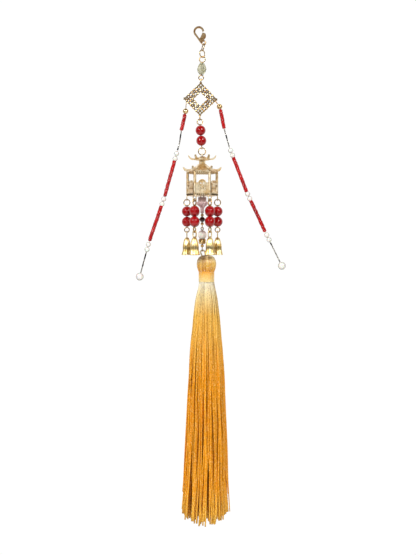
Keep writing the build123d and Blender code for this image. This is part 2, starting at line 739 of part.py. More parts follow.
# the skirt turns about the middle of its round top
skirt_pivot = wrap_end - SKIRT_GAP - SKIRT_NECK
skirt_base = wrap_end - SKIRT_LENGTH
with BuildPart() as tassel_skirt:
    with BuildSketch(upright(tassel_frame)):
        with BuildLine():
            ThreePointArc(
                (0, skirt_pivot + SKIRT_NECK),
                (SKIRT_NECK * sin(radians(45)), skirt_pivot + SKIRT_NECK * cos(radians(45))),
                (SKIRT_NECK, skirt_pivot),
            )
            Spline(
                (SKIRT_NECK, skirt_pivot),
                (0.56 * SKIRT_WIDE, skirt_pivot - 0.17 * SKIRT_LENGTH),
                (0.76 * SKIRT_WIDE, skirt_pivot - 0.4 * SKIRT_LENGTH),
                (0.88 * SKIRT_WIDE, skirt_pivot - 0.7 * SKIRT_LENGTH),
                (SKIRT_WIDE, skirt_base + 6),
                tangents=[(0.12, -1), (0.2, -1)],
            )
            Polyline((SKIRT_WIDE, skirt_base + 6), (SKIRT_WIDE - 1, skirt_base), (0, skirt_base))
            Line((0, skirt_base), (0, skirt_pivot + SKIRT_NECK))
        make_face()
    revolve(axis=Axis(tassel_frame.origin, tassel_frame.z_dir))

# ---------------------------------------------------------------- side strands


def along(start, end, distance):
    """The frame that looks from start to end, this far along."""
    way = (end - start).normalized()
    return Plane(origin=start + way * distance, x_dir=(0, 1, 0), z_dir=way)


def run_of(start, end, count, pitch, first):
    """Frames for the pieces threaded along one straight run."""
    return [along(start, end, first + pitch * n) for n in range(count)]


def filled_run(start, end, pitch, first):
    """Frames for as many pieces as the run has room for."""
    count = int(((end - start).length - first) / pitch + 0.5)
    return run_of(start, end, count, pitch, first)


def seed_beads(frames):
    """Short round-edged glass beads, one on each frame."""
    with BuildPart() as bead:
        Cylinder(SEED_RADIUS, SEED_LENGTH)
        fillet(bead.edges(), 0.4)
        Cylinder(THREAD + HOLE_GAP, SEED_LENGTH + 1, mode=Mode.SUBTRACT)
    with BuildPart() as beads:
        with Locations(*[frame.location for frame in frames]):
            add(bead.part)
    return beads.part


def pearls(frames, radii):
    """Round pearls, one on each frame."""
    with BuildPart() as strung:
        for frame, radius in zip(frames, radii):
            with Locations(frame.location):
                Sphere(radius)
                Cylinder(THREAD + HOLE_GAP, 2 * radius + 1, mode=Mode.SUBTRACT)
    return strung.part


def tubes(runs):
    """Slim metal tubes, one from each start to its end."""
    with BuildPart() as sleeves:
        for start, end in runs:
            with BuildSketch(along(start, end, 0)):
                Circle(TUBE_RADIUS)
                Circle(THREAD + HOLE_GAP / 3, mode=Mode.SUBTRACT)
            extrude(amount=(end - start).length)
    return sleeves.part


def thread(points):
    """A thread pulled straight from point to point."""
    with BuildPart() as line:
        for start, end in zip(points, points[1:]):
            with BuildSketch(along(start, end, 0)):
                Circle(THREAD)
            extrude(amount=(end - start).length)
        with Locations(*points[1:-1]):
            Sphere(THREAD)
    return line.part


def place(x, z):
    """A point of a strand in the plane of the connector, measured from the cell that its ring hangs in."""
    return Vector(x, 0, z)


# each strand: its ring's cell, the ball under it, then the turns of the thread and its end
strand_routes = {
    "left": {
        "cell": -1,
        "ball": place(-0.571, -7.325),
        "upper": [place(-1.021, -9.425), place(-3.121, -18.725), place(-4.121, -25.925), place(-5.371, -30.375)],
        "lower": [place(-5.451, -30.675), place(-12.921, -57.325), place(-22.021, -84.025), place(-28.121, -106.725)],
    },
    "right": {
        "cell": 1,
        "ball": place(3.151, -4.172),
        "upper": [place(3.751, -6.272), place(5.851, -17.172), place(7.551, -23.172), place(8.951, -28.172)],
        "lower": [place(9.081, -28.452), place(18.951, -53.972), place(30.151, -78.172), place(40.751, -99.772)],
    },
}

seed_pitch = SEED_LENGTH + BEAD_GAP
pearl_pitch = 2 * SMALL_PEARL + BEAD_GAP
strands = {}
for side, route in strand_routes.items():
    cell_centre = below(fret_frame, fret_drop, route["cell"] * cell * 2**0.5)
    ball = cell_centre + route["ball"]
    upper = [cell_centre + point for point in route["upper"]]
    lower = [cell_centre + point for point in route["lower"]]
    ring_way = (ball - cell_centre).normalized()
    ring_length = (ball - cell_centre).length - CRIMP_BALL + 0.2
    ring_plane = Plane(origin=cell_centre, x_dir=(0, 1, 0), z_dir=ring_way * -1)
    with BuildPart() as crimp:
        add(
            oval(
                ring_plane,
                STRAND_RING_DEPTH,
                ring_length + STRAND_RING_RISE,
                STRAND_WIRE,
                STRAND_RING_RISE,
            )
        )
        with Locations(ball):
            Sphere(CRIMP_BALL, rotation=(90, 0, 0))
        with BuildSketch(along(ball, upper[0], 0)):
            Circle(THREAD + HOLE_GAP / 3)
        extrude(amount=2 * CRIMP_BALL, mode=Mode.SUBTRACT)
    strands[f"{side}_crimp"] = crimp.part

    first_seed = SEED_LENGTH / 2 + BEAD_GAP
    strands[f"{side}_upper_seeds"] = seed_beads(filled_run(upper[0], upper[1], seed_pitch, first_seed))
    tube_runs = [
        (along(upper[1], upper[2], 0.3).origin, along(upper[2], upper[1], 0.15).origin),
        (along(upper[2], upper[3], 0.15).origin, along(upper[3], upper[2], 0.15).origin),
    ]
    strands[f"{side}_upper_tubes"] = tubes(tube_runs)
    strands[f"{side}_upper_thread"] = thread([ball] + upper)

    # pearls, seeds, pearls, seeds, pearls, tube and an end pearl down the lower part
    pearl_first = SMALL_PEARL + 0.15
    seeds_first = pearl_first + 2 * pearl_pitch - SMALL_PEARL + SEED_LENGTH / 2
    middle = filled_run(lower[0], lower[1], seed_pitch, seeds_first)
    low = filled_run(lower[1], lower[2], seed_pitch, seeds_first)
    strands[f"{side}_lower_seeds"] = seed_beads(middle + low)
    pearl_frames = [
        frame
        for start, end in zip(lower, lower[1:])
        for frame in run_of(start, end, 2, pearl_pitch, pearl_first)
    ]
    end_frame = along(lower[3], lower[2], END_PEARL)
    strands[f"{side}_lower_pearls"] = pearls(
        pearl_frames + [end_frame], [SMALL_PEARL] * len(pearl_frames) + [END_PEARL]
    )
    tube_start = along(lower[2], lower[3], pearl_first + pearl_pitch + SMALL_PEARL + BEAD_GAP).origin
    tube_end = along(lower[3], lower[2], 2 * END_PEARL + BEAD_GAP).origin
    strands[f"{side}_lower_tube"] = tubes([(tube_start, tube_end)])
    strands[f"{side}_lower_thread"] = thread(lower)

# ---------------------------------------------------------------- write the pieces

pieces = {
    "clasp_body": clasp_body.part,
    "clasp_lever": clasp_lever.part,
    "clasp_pin": clasp_pin.part,
    "clasp_spring": clasp_spring.part,
    "clasp_ring": clasp_ring,
    "chain_ring": chain_ring,
    "crystal_pin": crystal_pin,
    "crystal_bead": crystal_bead,
    "fretwork_connector": fretwork_connector.part,
    "neck_pin": neck_pin,
    "neck_beads": neck_beads,
    "lantern_ring": lantern_ring,
    "palace_lantern": palace_lantern.part,
    **dangles,
    "drop_pin": drop_pin,
    "flower_bead": flower_bead,
    "spacer_balls": spacer_balls,
    "garnet_bead": garnet_bead,
    "pearl_pin": pearl_pin,
    "petal_pearl": petal_pearl,
    "pearl_cap": pearl_cap.part,
    "tassel_cord": tassel_cord,
    "tassel_head": tassel_head.part,
    "neck_wrap": neck_wrap,
    "tassel_skirt": tassel_skirt.part,
    **strands,
}

os.makedirs("parts", exist_ok=True)
for name, piece in pieces.items():
    piece.label = name
    export_step(piece, f"parts/{name}.step")

for name, point in {
    "lever": clasp_face.from_local_coords(Vector(*PIVOT, 0)),
    "clasp_ring": eye_wire,
    "chain_ring": upper_ring_wire,
    "crystal": lower_ring_wire,
    "connector": crystal_wire,
    "neck": fret_wire,
    "lantern_ring": neck_wire,
    "lantern": ring_wire,
    "drop": drop_frame.origin,
    "pearl": drop_wire,
    "tassel": eye_of_pearl,
    "skirt": tassel_frame.origin + Vector(0, 0, skirt_pivot),
    "left strand": below(fret_frame, fret_drop, -cell * 2**0.5),
    "right strand": below(fret_frame, fret_drop, cell * 2**0.5),
    "dangle": around(0, CORNER_LOOP_RADIUS, CORNER_LOOP_DROP),
    "bell": around(0, CORNER_LOOP_RADIUS, CORNER_LOOP_DROP + dangle_end + 2 * DANGLE_LOW_LOOP),
}.items():
    print(f"{name}: {point.X:.3f} {point.Y:.3f} {point.Z:.3f}")
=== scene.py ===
"""The looks of a beaded palace-lantern charm with a silk tassel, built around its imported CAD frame."""

import logging
import math
import random
from dataclasses import dataclass, field
from enum import Enum

import bmesh
import bpy
from mathutils import Matrix, Vector


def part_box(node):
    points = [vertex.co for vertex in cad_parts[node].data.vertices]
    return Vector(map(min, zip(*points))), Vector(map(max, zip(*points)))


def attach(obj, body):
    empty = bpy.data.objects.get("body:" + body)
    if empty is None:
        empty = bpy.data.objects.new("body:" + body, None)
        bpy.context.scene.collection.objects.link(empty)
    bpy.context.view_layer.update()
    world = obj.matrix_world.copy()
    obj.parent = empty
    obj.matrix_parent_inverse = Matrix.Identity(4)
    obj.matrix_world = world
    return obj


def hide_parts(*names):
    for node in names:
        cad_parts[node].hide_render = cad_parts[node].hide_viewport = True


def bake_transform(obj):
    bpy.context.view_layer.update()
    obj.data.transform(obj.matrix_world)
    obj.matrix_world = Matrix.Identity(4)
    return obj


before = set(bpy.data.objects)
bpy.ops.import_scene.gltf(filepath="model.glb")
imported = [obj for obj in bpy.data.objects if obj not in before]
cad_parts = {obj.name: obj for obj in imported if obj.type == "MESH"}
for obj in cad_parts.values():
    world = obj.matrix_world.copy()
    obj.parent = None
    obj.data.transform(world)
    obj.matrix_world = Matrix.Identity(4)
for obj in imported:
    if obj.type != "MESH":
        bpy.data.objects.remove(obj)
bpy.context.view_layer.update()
LOG = logging.getLogger("charm")
MM = 0.001


class Side(Enum):
    """The two bead strands."""

    LEFT = "left"
    RIGHT = "right"


# ---------------------------------------------------------------- nodes and colour


def colour(code: str) -> tuple[float, float, float, float]:
    """Turns an sRGB hex value to linear.

    Args:
        code: six hex digits, red first.

    Returns:
        The linear red, green, blue and alpha.
    """
    channels = [int(code[i : i + 2], 16) / 255 for i in (0, 2, 4)]
    linear = [c / 12.92 if c <= 0.04045 else ((c + 0.055) / 1.055) ** 2.4 for c in channels]
    return (*linear, 1.0)


def node(
    tree: bpy.types.NodeTree, kind: str, inputs: dict | None = None, **settings: object
) -> bpy.types.Node:
    """Adds a node to a tree, with its settings, its values and its links.

    Args:
        tree: the tree that the node goes in.
        kind: Blender's name of the node.
        inputs: a value, or the socket to link, for each input by name or number.
        settings: the node's own options.

    Returns:
        The new node.
    """
    made = tree.nodes.new(kind)
    for name, value in settings.items():
        setattr(made, name, value)
    for key, value in (inputs or {}).items():
        if isinstance(value, bpy.types.NodeSocket):
            tree.links.new(value, made.inputs[key])
        else:
            made.inputs[key].default_value = value
    return made


def shade(ramp: bpy.types.Node, stops: list[tuple[float, str]]) -> bpy.types.NodeSocket:
    """Sets a colour ramp's stops.

    Args:
        ramp: the colour ramp node.
        stops: each stop's place and sRGB hex value, in order.

    Returns:
        The ramp's colour output.
    """
    elements = ramp.color_ramp.elements
    for place, code in stops[2:]:
        elements.new(place)
    for element, (place, code) in zip(elements, stops):
        element.position = place
        element.color = colour(code)
    return ramp.outputs["Color"]


@dataclass(frozen=True)
class Finish:
    """What every finish shares: its name, its light and dark tone and how rough it is."""

    name: str
    light: str
    dark: str
    roughness: float = 0.3

    def start(self) -> tuple[bpy.types.Material, bpy.types.NodeTree, bpy.types.Node, bpy.types.NodeSocket]:
        """Makes the material with an empty shader.

        Returns:
            The material, its tree, its shader and the object coordinates.
        """
        material = bpy.data.materials.new(self.name)
        material.use_nodes = True
        tree = material.node_tree
        shader = tree.nodes["Principled BSDF"]
        shader.inputs["Roughness"].default_value = self.roughness
        place = node(tree, "ShaderNodeTexCoord").outputs["Object"]
        return material, tree, shader, place

    def relief(self, tree: bpy.types.NodeTree, shader: bpy.types.Node, height: bpy.types.NodeSocket,
               depth: float, strength: float) -> None:
        """Puts a bump of this depth, in metres, on the shader."""
        bump = node(tree, "ShaderNodeBump", {"Height": height, "Distance": depth, "Strength": strength})
        tree.links.new(bump.outputs["Normal"], shader.inputs["Normal"])


@dataclass(frozen=True)
class CastGold(Finish):
    """Gold-plated zinc casting: bright on its edges, with a brown in its recesses that is partly patinated
    plating and partly painted shade.
    """

    patina_and_shade: str = "4a2f14"
    recess: float = 0.9 * MM  # how far the patinated brown and the painted shade reach out of a corner
    patch: float = 2.5 * MM  # size of the cloudy patches in the plating
    grain: float = 0.35 * MM  # size of the casting's pits, drawn coarser than the real ones

    def material(self) -> bpy.types.Material:
        """Makes the plated casting's material."""
        made, tree, shader, place = self.start()
        patches = node(tree, "ShaderNodeTexNoise", {"Vector": place, "Scale": 1 / self.patch, "Detail": 3.0})
        tones = node(tree, "ShaderNodeValToRGB", {"Fac": patches.outputs["Fac"]})
        gold = shade(tones, [(0.35, self.dark), (0.62, self.light)])
        # The ambient-occlusion mask darkens the recesses to brown: patinated plating, and painted shade where
        # less light falls.
        corner = node(tree, "ShaderNodeAmbientOcclusion", {"Distance": self.recess}, samples=6)
        patina_and_shade_mask = node(
            tree,
            "ShaderNodeMapRange",
            {"Value": corner.outputs["AO"], "From Min": 0.3, "From Max": 0.85},
        )
        mix = node(tree, "ShaderNodeMix", {0: patina_and_shade_mask.outputs["Result"]}, data_type="RGBA")
        mix.inputs[6].default_value = colour(self.patina_and_shade)
        tree.links.new(gold, mix.inputs[7])
        tree.links.new(mix.outputs[2], shader.inputs["Base Color"])
        shader.inputs["Metallic"].default_value = 1.0
        wear = node(
            tree,
            "ShaderNodeMapRange",
            {
                "Value": patches.outputs["Fac"],
                "To Min": self.roughness * 1.4,
                "To Max": self.roughness * 0.7,
            },
        )
        tree.links.new(wear.outputs["Result"], shader.inputs["Roughness"])
        grain = node(tree, "ShaderNodeTexNoise", {"Vector": place, "Scale": 1 / self.grain, "Detail": 2.0})
        self.relief(tree, shader, grain.outputs["Fac"], 0.05 * MM, 0.35)
        return made


@dataclass(frozen=True)
class BandedGold(CastGold):
    """The bells' plating, with a dark antiqued zigzag band round each bell."""

    band_top: float = -125.6 * MM
    band_foot: float = -127.9 * MM
    band: str = "6b5420"

    def material(self) -> bpy.types.Material:
        """Makes the bells' material: the band is a soft step on height, broken up by noise."""
        made = super().material()
        tree = made.node_tree
        shader = tree.nodes["Principled BSDF"]
        under = shader.inputs["Base Color"].links[0].from_socket
        place = node(tree, "ShaderNodeTexCoord").outputs["Object"]
        height = node(tree, "ShaderNodeSeparateXYZ", {0: place}).outputs["Z"]
        ragged = node(tree, "ShaderNodeTexNoise", {"Vector": place, "Scale": 900.0, "Detail": 1.0})
        wander = node(
            tree,
            "ShaderNodeMath",
            {0: ragged.outputs["Fac"], 1: 1.6 * MM, 2: height},
            operation="MULTIPLY_ADD",
        ).outputs[0]
        middle = (self.band_top + self.band_foot) / 2 + 0.8 * MM
        off = node(tree, "ShaderNodeMath", {0: wander, 1: middle}, operation="SUBTRACT").outputs[0]
        away = node(tree, "ShaderNodeMath", {0: off}, operation="ABSOLUTE").outputs[0]
        half = (self.band_top - self.band_foot) / 2
        mask = node(
            tree,
            "ShaderNodeMapRange",
            {"Value": away, "From Min": half, "From Max": half * 0.3, "To Max": 0.5},
        ).outputs["Result"]
        mix = node(tree, "ShaderNodeMix", {0: mask, 6: under}, data_type="RGBA")
        mix.inputs[7].default_value = colour(self.band)
        tree.links.new(mix.outputs[2], shader.inputs["Base Color"])
        return made


@dataclass(frozen=True)
class OpaqueGlass(Finish):
    """Fire-polished opaque glass: a saturated body under a clear, sharp gloss."""

    streak: float = 3.0 * MM

    def material(self) -> bpy.types.Material:
        """Makes the glass with faint swirls of a darker tone."""
        made, tree, shader, place = self.start()
        swirl = node(
            tree,
            "ShaderNodeTexNoise",
            {"Vector": place, "Scale": 1 / self.streak, "Detail": 2.0, "Distortion": 1.0},
        )
        ramp = node(tree, "ShaderNodeValToRGB", {"Fac": swirl.outputs["Fac"]})
        tree.links.new(shade(ramp, [(0.35, self.dark), (0.65, self.light)]), shader.inputs["Base Color"])
        shader.inputs["IOR"].default_value = 1.45
        shader.inputs["Coat Weight"].default_value = 0.3
        shader.inputs["Coat Roughness"].default_value = 0.02
        return made


@dataclass(frozen=True)
class CutGlass(Finish):
    """Clear or tinted glass that lets light through."""

    transmission: float = 0.85

    def material(self) -> bpy.types.Material:
        """Makes the glass with a slight unevenness of tint."""
        made, tree, shader, place = self.start()
        cloud = node(tree, "ShaderNodeTexNoise", {"Vector": place, "Scale": 1 / (2.0 * MM), "Detail": 2.0})
        ramp = node(tree, "ShaderNodeValToRGB", {"Fac": cloud.outputs["Fac"]})
        tree.links.new(shade(ramp, [(0.3, self.dark), (0.65, self.light)]), shader.inputs["Base Color"])
        shader.inputs["IOR"].default_value = 1.5
        shader.inputs["Transmission Weight"].default_value = self.transmission
        return made


@dataclass(frozen=True)
class Nacre(Finish):
    """Imitation pearl: a milky body with a soft sheen and a warm grey edge that is painted shade."""

    def material(self) -> bpy.types.Material:
        """Makes the pearl's material."""
        made, tree, shader, place = self.start()
        cloud = node(tree, "ShaderNodeTexNoise", {"Vector": place, "Scale": 1 / (1.5 * MM), "Detail": 2.0})
        # The tone goes warm grey towards the edge, where the surface turns away: painted shade.
        rim_shade = node(tree, "ShaderNodeLayerWeight", {"Blend": 0.45})
        blend = node(
            tree,
            "ShaderNodeMath",
            {0: cloud.outputs["Fac"], 1: 0.15, 2: rim_shade.outputs["Facing"]},
            operation="MULTIPLY_ADD",
        )
        ramp = node(tree, "ShaderNodeValToRGB", {"Fac": blend.outputs[0]})
        tree.links.new(shade(ramp, [(0.3, self.light), (0.8, self.dark)]), shader.inputs["Base Color"])
        shader.inputs["Coat Weight"].default_value = 0.5
        shader.inputs["Coat Roughness"].default_value = 0.08
        shader.inputs["Subsurface Weight"].default_value = 0.15
        shader.inputs["Subsurface Scale"].default_value = 1.0 * MM
        return made


@dataclass(frozen=True)
class Plate(Finish):
    """Bright silver plating on drawn tube."""

    def material(self) -> bpy.types.Material:
        """Makes the plating with painted dark reflections, as streaks along the tube."""
        made, tree, shader, place = self.start()
        # The near-black streaks are painted reflections on the polished tube.
        dark_reflections = node(tree, "ShaderNodeTexNoise", {"Vector": place, "Scale": 1 / (3.5 * MM), "Detail": 1.0})
        ramp = node(tree, "ShaderNodeValToRGB", {"Fac": dark_reflections.outputs["Fac"]})
        tree.links.new(shade(ramp, [(0.42, self.dark), (0.5, self.light)]), shader.inputs["Base Color"])
        shader.inputs["Metallic"].default_value = 1.0
        return made


@dataclass(frozen=True)
class TwistedSilk(Finish):
    """Twisted rayon silk: soft gloss, a ply drawn as painted highlights and painted shade, and a tone that
    runs down the tassel.
    """

    tones: tuple[tuple[float, str], ...] = ()
    top: float = 0.0
    foot: float = -1.0
    ply: float = 0.9 * MM  # length of one twist, drawn coarser than the real ply
    width: float = 0.35 * MM
    gloss: float = 0.12
    depth: float = 0.5  # how far the painted shade darkens the ply between its painted highlights

    def material(self) -> bpy.types.Material:
        """Makes the silk: the tone by height and by thread, then the ply's painted shade, painted highlights
        and bump.
        """
        made, tree, shader, place = self.start()
        height = node(tree, "ShaderNodeSeparateXYZ", {0: place}).outputs["Z"]
        down = node(
            tree,
            "ShaderNodeMapRange",
            {"Value": height, "From Min": self.top, "From Max": self.foot},
        ).outputs["Result"]
        tone = shade(node(tree, "ShaderNodeValToRGB", {"Fac": down}), list(self.tones))
        size = node(tree, "ShaderNodeMapping", {"Vector": place}, vector_type="POINT")
        size.inputs["Scale"].default_value = (1 / self.width, 1 / self.width, 1 / self.ply)
        ply = node(tree, "ShaderNodeTexNoise", {"Vector": size.outputs[0], "Scale": 1.0, "Detail": 1.0})
        # Per-thread darkening: each thread's own tone, and painted shade on the skirt's inner layers.
        tone_and_shade = node(tree, "ShaderNodeAttribute", attribute_name="tone_and_shade").outputs["Fac"]
        # The ply's dark flecks are painted shade and its light flecks are painted highlights on the twist.
        shadow = node(
            tree,
            "ShaderNodeMapRange",
            {"Value": ply.outputs["Fac"], "From Min": 0.5, "From Max": 0.28, "To Max": self.depth},
        ).outputs["Result"]
        painted_glint = node(
            tree,
            "ShaderNodeMapRange",
            {"Value": ply.outputs["Fac"], "From Min": 0.55, "From Max": 0.72, "To Max": 0.7},
        ).outputs["Result"]
        shadow_and_tone = node(tree, "ShaderNodeMath", {0: shadow, 1: tone_and_shade}, operation="ADD", use_clamp=True).outputs[0]
        dark = node(tree, "ShaderNodeMix", {0: shadow_and_tone, 6: tone, 7: colour(self.dark)}, data_type="RGBA")
        lit = node(
            tree, "ShaderNodeMix", {0: painted_glint, 6: dark.outputs[2], 7: colour(self.light)}, data_type="RGBA"
        )
        tree.links.new(lit.outputs[2], shader.inputs["Base Color"])
        shader.inputs["Specular IOR Level"].default_value = self.gloss
        self.relief(tree, shader, ply.outputs["Fac"], 0.2 * MM, 0.5)
        return made


GOLD = CastGold("antique_gold_plated_casting", "f3d9a2", "b98a48", 0.24)
ROOF_GOLD = CastGold("pale_gold_plated_casting", "fcecca", "d6b27a", 0.4)
CLASP_GOLD = CastGold("rose_gold_plated_clasp", "f0d0a0", "a87844", 0.28)
BELL_GOLD = BandedGold("antiqued_bell_gold", "fde9b4", "d6b062", 0.32)
WIRE_GOLD = CastGold("gold_plated_wire", "e8c584", "94692f", 0.2)
# Near-black casting for the foot's dentils: blackened metal, and painted shade in the recess round the foot.
BLACKENED_SHADED_CAST = CastGold("blackened_and_shaded_recess_casting", "3a2c18", "1b140c", 0.5)
RED = OpaqueGlass("lacquer_red_glass", "b00005", "9a0004", 0.03)
SEED_RED = OpaqueGlass("seed_bead_red_glass", "c80608", "9c0305", 0.12)
CRYSTAL = CutGlass("cut_crystal_glass", "f6f3dc", "b0ac84", 0.04, 0.75)
PINK = CutGlass("frosted_rose_acrylic", "fadcda", "dcb4b6", 0.28, 0.25)
GARNET = CutGlass("garnet_red_glass", "6a0410", "240104", 0.03, 0.15)
# Each pearl's dark tone is the painted shade at its edge.
PEARL = Nacre("pearl_lustre", "faf6ee", "857b69", 0.18)
BLUSH_PEARL = Nacre("blush_pearl_lustre", "fff6ee", "e0c4ae", 0.2)
# The near-black tone is for the painted dark reflections on the polished plating.
SILVER = Plate("silver_plated_tube", "e6e3da", "191613", 0.15)
SKIRT_TONES = (
    (0.0, "fffbe4"),
    (0.06, "ffe9aa"),
    (0.14, "fdc858"),
    (0.4, "fba616"),
    (0.85, "ffab1c"),
    (1.0, "ffc44a"),
)
# The cream at the start of these tones is a painted highlight on the head's top, where the light from above
# falls.
HEAD_TONES_LIT_TOP = ((0.0, "fff0bc"), (0.35, "ffd05c"), (0.6, "fbb02c"), (0.72, "fecb60"), (1.0, "ffe6a0"))
# The core's tones are painted shade inside the skirt.
CORE_TONES = ((0.0, "cf9038"), (0.1, "a85e0c"), (1.0, "925006"))
# Each silk's light and dark tones are the ply's painted highlights and painted shade.
SKIRT_SILK = TwistedSilk("golden_twisted_silk", "ffdf94", "8a4600", 0.36, SKIRT_TONES, -147 * MM, -287 * MM)
HEAD_SILK = TwistedSilk(
    "golden_looped_silk", "fff4d0", "a85e08", 0.22, HEAD_TONES_LIT_TOP, -131 * MM, -147 * MM, gloss=0.6, depth=0.25
)
CORE_SILK = TwistedSilk("shaded_inner_silk", "c98a35", "5a2600", 0.6, CORE_TONES, -147 * MM, -287 * MM)


def dress(nodes: list[str], finish: Finish) -> None:
    """Gives CAD nodes one finish.

    Args:
        nodes: the nodes' names.
        finish: the finish that they take.
    """
    material = finish.material()
    for name in nodes:
        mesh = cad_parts[name].data
        mesh.materials.clear()
        mesh.materials.append(material)
        LOG.info("%s dressed in %s", name, finish.name)


# ---------------------------------------------------------------- shared mesh making


@dataclass
class Piece:
    """One mesh in the making, with its name, its body and its material slot."""

    name: str
    body: str
    slot: str
    finish: Finish
    mesh: bmesh.types.BMesh = field(default_factory=bmesh.new)

    def take(self, part: bmesh.types.BMesh) -> None:
        """Adds a finished part to the piece, and frees the part."""
        scratch = bpy.data.meshes.new("scratch")
        part.to_mesh(scratch)
        part.free()
        self.mesh.from_mesh(scratch)
        bpy.data.meshes.remove(scratch)

    def tube(self, route: list[Vector], radius: float | list[float], sides: int = 6, closed: bool = False,
             tone_and_shade: float = 0.0) -> None:
        """Runs a round tube along a route, by extruding a ring from point to point.

        Args:
            route: the points of the tube's centre line.
            radius: its radius, or one for each point.
            sides: how many sides the ring has.
            closed: whether the route joins its own start.
            tone_and_shade: how much darker this tube is than the others.
        """
        radii = radius if isinstance(radius, list) else [radius] * len(route)
        last = len(route) - 1
        places = []
        side = None
        for i, point in enumerate(route):
            before = route[i - 1] if closed or i else point
            after = route[(i + 1) % len(route)] if closed or i < last else point
            way = (after - before).normalized()
            side = side or way.orthogonal()
            side = (side - way * side.dot(way)).normalized()
            turn = Matrix((side, way.cross(side), way)).transposed().to_4x4()
            places.append(Matrix.Translation(point) @ turn @ Matrix.Scale(radii[i], 4))
        part = bmesh.new()
        layer = part.verts.layers.float.new("tone_and_shade")
        bmesh.ops.create_circle(part, segments=sides, radius=1.0, matrix=places[0])
        first = ring = part.edges[:]
        for before, place in zip(places, places[1:]):
            grown = bmesh.ops.extrude_edge_only(part, edges=ring)["geom"]
            ring = [g for g in grown if isinstance(g, bmesh.types.BMEdge)]
            moved = [g for g in grown if isinstance(g, bmesh.types.BMVert)]
            bmesh.ops.transform(part, matrix=place @ before.inverted(), verts=moved)
        if closed:
            bmesh.ops.bridge_loops(part, edges=ring + first)
        else:
            bmesh.ops.edgeloop_fill(part, edges=ring + first)
        for vert in part.verts:
            vert[layer] = tone_and_shade
        self.take(part)

    def lathe(self, centre: Vector, profile: list[tuple[float, float]], steps: int = 48, closed: bool = False,
              lobes: int = 0, depth: float = 0.0, from_z: float = 0.0, to_z: float = 0.0) -> None:
        """Spins a profile about an upright axis, and can flute it into lobes.

        Args:
            centre: the point on the axis that the profile's heights are measured from.
            profile: (radius, height) points, in metres.
            steps: how many steps the spin takes.
            closed: whether the profile joins its own start, for a wall with thickness.
            lobes: how many flutes or petals there are.
            depth: how deep the flutes are, as a share of the radius.
            from_z: the height where the flutes begin.
            to_z: the height where they are full depth.
        """
        part = bmesh.new()
        verts = [part.verts.new(centre + Vector((r, 0, z))) for r, z in profile]
        ends = zip(verts, verts[1:] + verts[:1]) if closed else zip(verts, verts[1:])
        edges = [part.edges.new(pair) for pair in ends]
        bmesh.ops.spin(
            part,
            geom=verts + edges,
            cent=centre,
            axis=(0, 0, 1),
            angle=math.tau,
            steps=steps,
            use_merge=True,
            use_duplicate=False,
        )
        bmesh.ops.remove_doubles(part, verts=part.verts, dist=0.002 * MM)
        for vert in part.verts if lobes else ():
            off = vert.co - centre
            share = min(max((off.z - from_z) / (to_z - from_z), 0.0), 1.0)
            wave = abs(math.cos(lobes * math.atan2(off.y, off.x) / 2))
            scale = 1 + depth * share * (wave - 1)
            vert.co = centre + Vector((off.x * scale, off.y * scale, off.z))
        self.take(part)

    def finish_piece(
        self, *replaced: str, smooth: bool = True, blend: tuple | None = None
    ) -> bpy.types.Object:
        """Turns the mesh into an object that rides on its body, unless a blend is given.

        Args:
            replaced: the CAD nodes that it stands for.
            smooth: whether its faces are smooth.
            blend: a second body and two points, which are not read; when it is given, the piece's place is
                baked into its mesh instead of riding on its body, and it does not bend.

        Returns:
            The finished object.
        """
        bmesh.ops.recalc_face_normals(self.mesh, faces=self.mesh.faces)
        data = bpy.data.meshes.new(self.name)
        self.mesh.to_mesh(data)
        self.mesh.free()
        for polygon in data.polygons:
            polygon.use_smooth = smooth
        obj = bpy.data.objects.new(self.name, data)
        bpy.context.scene.collection.objects.link(obj)
        data.materials.append(self.finish.material())
        if blend:
            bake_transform(obj)
        else:
            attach(obj, self.body)
        if replaced:
            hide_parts(*replaced)
        LOG.info("%s rides on %s with %d faces", self.name, self.body, len(data.polygons))
        return obj


def arc(
    centre: Vector, across: Vector, up: Vector, radius: float, start: float, end: float, steps: int
) -> list[Vector]:
    """Points along an arc.

    Args:
        centre: the arc's centre.
        across: the direction of angle zero.
        up: the direction of a quarter turn.
        radius: the arc's radius.
        start: the first angle, in degrees.
        end: the last angle, in degrees.
        steps: how many steps lie between them.

    Returns:
        The points, both ends included.
    """
    angles = [math.radians(start + (end - start) * i / steps) for i in range(steps + 1)]
    return [centre + across * radius * math.cos(a) + up * radius * math.sin(a) for a in angles]


def soften(mesh: bmesh.types.BMesh, width: float) -> None:
    """Takes a narrow flat off every edge of a mesh.

    Args:
        mesh: the mesh.
        width: how far the flat reaches from the edge.
    """
    bmesh.ops.bevel(
        mesh,
        geom=mesh.edges[:],
        offset=width,
        offset_type="OFFSET",
        affect="EDGES",
        segments=1,
        profile=0.5,
        material=-1,
    )


def middle_of(name: str) -> Vector:
    """The middle of a CAD node's box."""
    low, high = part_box(name)
    return (Vector(low) + Vector(high)) / 2


def top_of(name: str) -> Vector:
    """The middle of the top of a CAD node's box."""
    low, high = (Vector(v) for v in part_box(name))
    return Vector(((low.x + high.x) / 2, (low.y + high.y) / 2, high.z))


# ---------------------------------------------------------------- the charm's parts


@dataclass
class Clasp:
    """The lobster clasp and the links above the lantern, which keep their CAD shapes."""

    body: tuple[str, ...] = ("clasp_body", "clasp_lever")
    wires: tuple[str, ...] = (
        "clasp_pin",
        "clasp_ring",
        "chain_ring",
        "crystal_pin",
        "neck_pin",
        "lantern_ring",
        "drop_pin",
        "pearl_pin",
    )

    def build(self) -> None:
        """Dresses the clasp, its wires, the crystal and the connector."""
        dress(list(self.body), CLASP_GOLD)
        dress(list(self.wires), WIRE_GOLD)
        dress(["clasp_spring"], SILVER)
        dress(["crystal_bead"], CRYSTAL)
        dress(["fretwork_connector"], GOLD)
        dress(["neck_beads"], RED)


